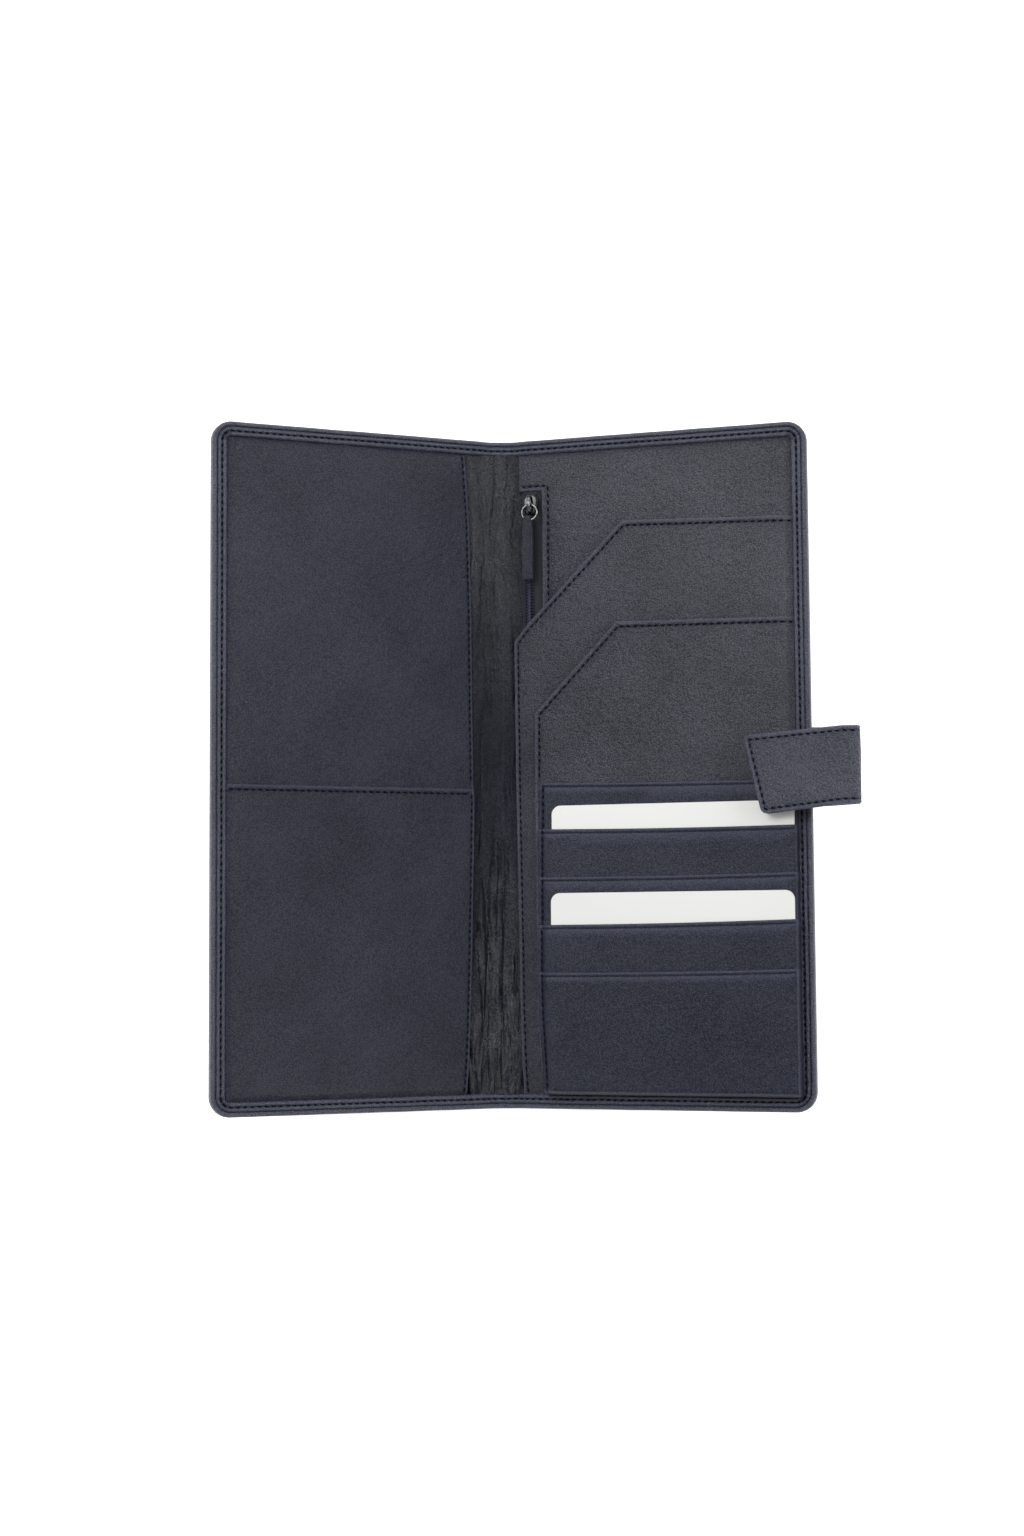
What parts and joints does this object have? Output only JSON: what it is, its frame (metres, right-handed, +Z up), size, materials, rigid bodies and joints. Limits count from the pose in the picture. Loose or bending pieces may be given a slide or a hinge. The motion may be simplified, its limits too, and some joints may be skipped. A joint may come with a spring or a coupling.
{
  "type": "passport holder",
  "caption": "Tall bifold leather passport holder lying open, with a full-height sleeve, zip pocket, slanted pockets, card slots and a snap strap.",
  "frame": {"origin": "centre of the spine's underside, on the surface that the open wallet lies on", "axes": "+Z up, +Y towards the top of the wallet along the spine, +X towards the back cover that carries the card slots and the strap"},
  "size_m": [0.218, 0.236, 0.0525],
  "materials": {
    "outer_leather": "satin",
    "pocket_leather": "satin",
    "lining_leather": "satin",
    "thread": "matte",
    "stiffener": "matte",
    "padding": "matte",
    "zip_tape": "matte",
    "zip_coil": "satin",
    "dark_metal": "polished",
    "snap_metal": "satin",
    "card_plastic": "satin"
  },
  "bodies": {
    "spine": {"spine_bottom_binding": "outer_leather", "spine_bottom_stitching": "thread", "spine_interlining": "padding", "spine_lining": "lining_leather", "spine_outer_leather": "outer_leather", "spine_top_binding": "outer_leather", "spine_top_stitching": "thread"},
    "front_cover": {"boarding_sleeve": "pocket_leather", "front_edge_binding": "outer_leather", "front_edge_stitching": "thread", "front_leather": "outer_leather", "front_lining": "lining_leather", "front_padding": "padding", "front_stiffener": "stiffener", "passport_pocket": "pocket_leather", "passport_pocket_stitching": "thread", "sleeve_stitching": "thread", "snap_socket": "snap_metal", "snap_socket_post": "snap_metal"},
    "back_cover": {"back_edge_binding": "outer_leather", "back_edge_stitching": "thread", "back_leather": "outer_leather", "back_lining": "lining_leather", "back_padding": "padding", "back_stiffener": "stiffener", "card_slot_1": "pocket_leather", "card_slot_2": "pocket_leather", "card_slot_3": "pocket_leather", "card_slot_4": "pocket_leather", "card_slot_5": "pocket_leather", "card_slot_stitching": "thread", "note_pocket": "pocket_leather", "note_pocket_stitching": "thread", "strap_root": "outer_leather", "strap_root_stitching": "thread", "ticket_pocket": "pocket_leather", "ticket_pocket_stitching": "thread", "zip_end_stops": "dark_metal", "zip_panel": "pocket_leather", "zip_panel_stitching": "thread", "zip_tape": "zip_tape", "zip_teeth": "zip_coil"},
    "strap_bridge": {"strap_bridge": "outer_leather"},
    "strap_tip": {"snap_stud": "snap_metal", "strap_tip_leather": "outer_leather", "strap_tip_lining": "outer_leather", "strap_tip_stitching": "thread"},
    "zip_slider": {"slider_bail": "dark_metal", "slider_body": "dark_metal"},
    "zip_puller": {"puller_ring": "dark_metal", "puller_tab": "outer_leather"},
    "card_upper": {"card_upper": "card_plastic"},
    "card_lower": {"card_lower": "card_plastic"}
  },
  "joints": [
    {"name": "front_fold", "type": "hinge", "parent": "spine", "child": "front_cover", "pos_m": [-0.007, 0, 0.0006], "axis": [0, 1, 0], "range_deg": [-16, 70]},
    {"name": "back_fold", "type": "hinge", "parent": "spine", "child": "back_cover", "pos_m": [0.007, 0, 0.0006], "axis": [0, -1, 0], "range_deg": [-16, 70]},
    {"name": "strap_lift", "type": "hinge", "parent": "back_cover", "child": "strap_bridge", "pos_m": [0.10615, 0, 0.0352], "axis": [0, -1, 0], "range_deg": [0, 40.69]},
    {"name": "strap_fold", "type": "hinge", "parent": "strap_bridge", "child": "strap_tip", "pos_m": [0.11681, 0, 0.04977], "axis": [0, -1, 0], "range_deg": [-40.69, 0]},
    {"name": "zip_slide", "type": "slide", "parent": "back_cover", "child": "zip_slider", "axis": [0, -1, 0], "range_m": [0, 0.03]},
    {"name": "puller_flip", "type": "hinge", "parent": "zip_slider", "child": "zip_puller", "pos_m": [0.00972, 0.0945, 0.00744], "axis": [-0.9397, 0, -0.342], "range_deg": [0, 170]},
    {"name": "card_upper_slide", "type": "slide", "parent": "back_cover", "child": "card_upper", "axis": [0, 1, 0], "range_m": [0, 0.046]},
    {"name": "card_lower_slide", "type": "slide", "parent": "back_cover", "child": "card_lower", "axis": [0, 1, 0], "range_m": [0, 0.046]}
  ],
  "couplings": [
    {"joint": "strap_fold", "follows": "strap_lift", "ratio": -1}
  ]
}
